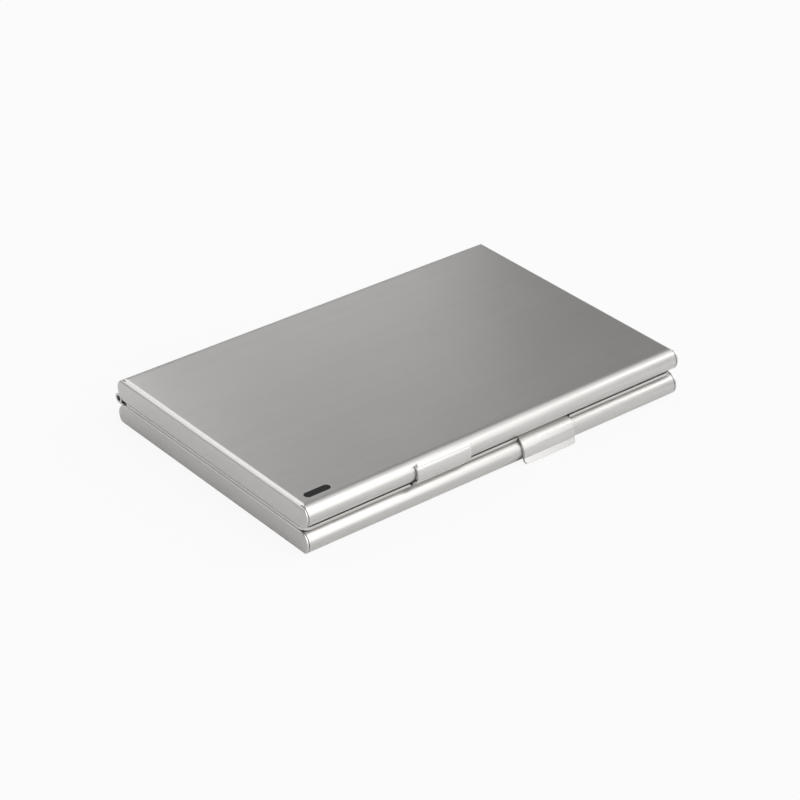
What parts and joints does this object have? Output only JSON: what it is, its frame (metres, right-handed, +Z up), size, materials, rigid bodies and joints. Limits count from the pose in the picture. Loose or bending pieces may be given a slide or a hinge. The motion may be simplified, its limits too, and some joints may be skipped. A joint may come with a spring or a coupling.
{
  "type": "business card case",
  "caption": "Flat double-sided business card case: two hinged brushed steel trays with rolled edges, a divider plate between them and sprung latch tabs at the front.",
  "frame": {"origin": "centre of the lower tray's flat outer face, where the closed case rests", "axes": "+X along the long side, +Y towards the hinge, +Z up; the latch tabs are on the -Y side"},
  "size_m": [0.095, 0.0661, 0.0107],
  "materials": {
    "tray_steel": "fine satin brushing along the case",
    "divider_steel": "bright satin",
    "pin_steel": "drawn wire",
    "spring_steel": "rolled strip",
    "black_enamel": "black enamel fill, flush"
  },
  "bodies": {
    "lower_tray_body": {"lower_tray": "tray_steel", "lower_card_spring": "spring_steel", "hinge_pin": "pin_steel"},
    "divider_body": {"divider_plate": "divider_steel"},
    "upper_tray_body": {"upper_tray": "tray_steel", "upper_card_spring": "spring_steel", "corner_mark": "black_enamel"}
  },
  "joints": [
    {"name": "divider_hinge", "type": "hinge", "parent": "lower_tray_body", "child": "divider_body", "pos_m": [0, 0.032, 0.00535], "axis": [-1, 0, 0], "range_deg": [0, 90]},
    {"name": "upper_tray_hinge", "type": "hinge", "parent": "divider_body", "child": "upper_tray_body", "pos_m": [0, 0.032, 0.00535], "axis": [-1, 0, 0], "range_deg": [0, 90]}
  ]
}
